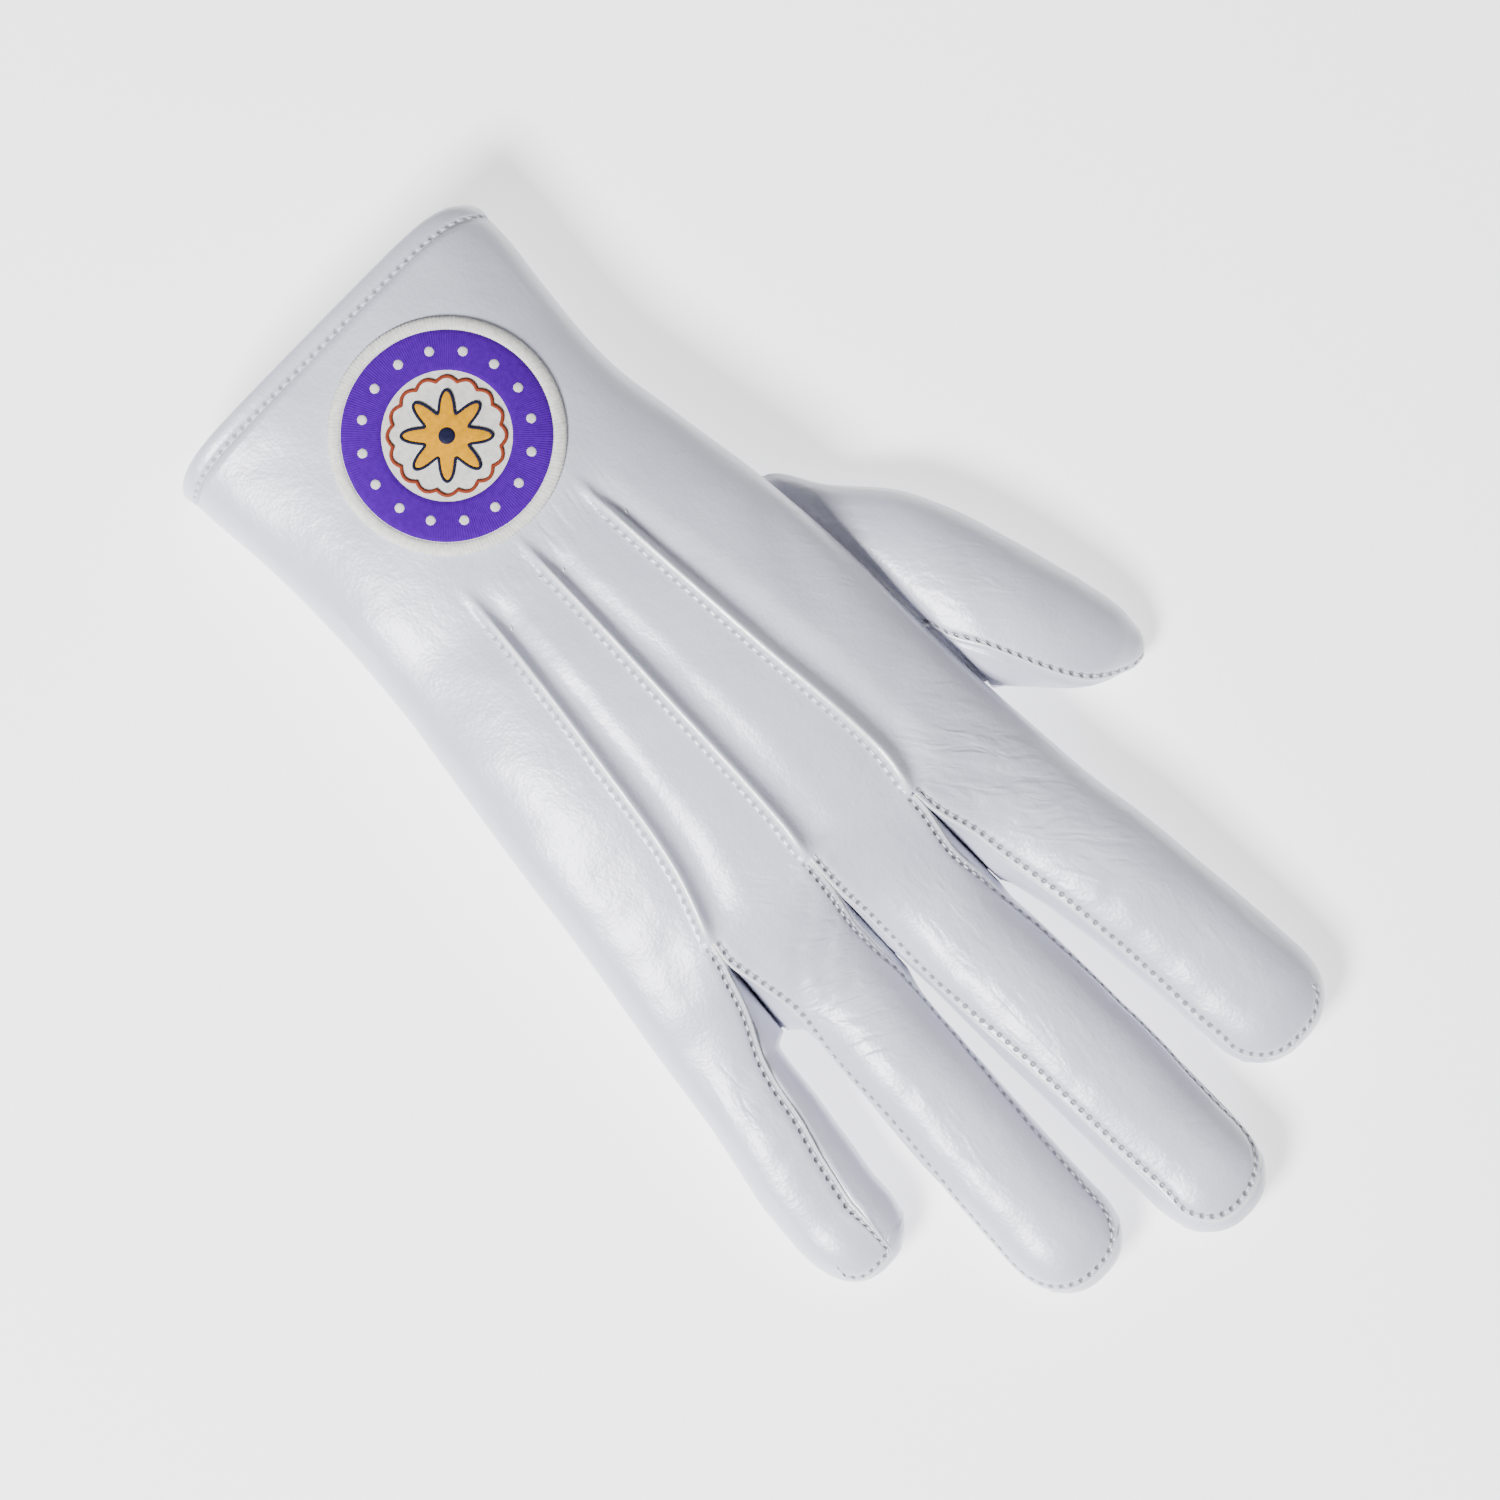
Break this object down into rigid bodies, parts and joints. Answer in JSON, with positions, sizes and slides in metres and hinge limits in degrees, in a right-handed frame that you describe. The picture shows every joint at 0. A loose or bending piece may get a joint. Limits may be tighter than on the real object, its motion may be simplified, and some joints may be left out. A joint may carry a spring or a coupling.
{
  "type": "white leather parade glove",
  "caption": "White leather dress glove for the right hand with raised points on the back, a separate thumb, fourchettes and a round embroidered patch on the cuff.",
  "frame": {"origin": "on the underside of the palm, midway between the cuff edge and the knuckle line", "axes": "+Y from the cuff to the fingertips, +Z out of the back of the hand, thumb towards -X"},
  "size_m": [0.1393, 0.2603, 0.0342],
  "materials": {
    "leather": "white satin leather",
    "patch_ground": "off-white twill",
    "patch_border": "off-white overlocked thread",
    "patch_band": "purple satin stitch",
    "patch_rosette": "gold satin stitch",
    "thread": "white sewing thread"
  },
  "bodies": {
    "root": {"trank": "leather", "fourchette_index": "leather", "fourchette_middle_thumb_side": "leather", "fourchette_middle_little_side": "leather", "fourchette_ring_thumb_side": "leather", "fourchette_ring_little_side": "leather", "fourchette_little": "leather", "thumb": "leather", "cuff_hem": "leather", "patch_ground": "patch_ground", "patch_border": "patch_border", "patch_band": "patch_band", "patch_rosette": "patch_rosette"}
  },
  "joints": []
}
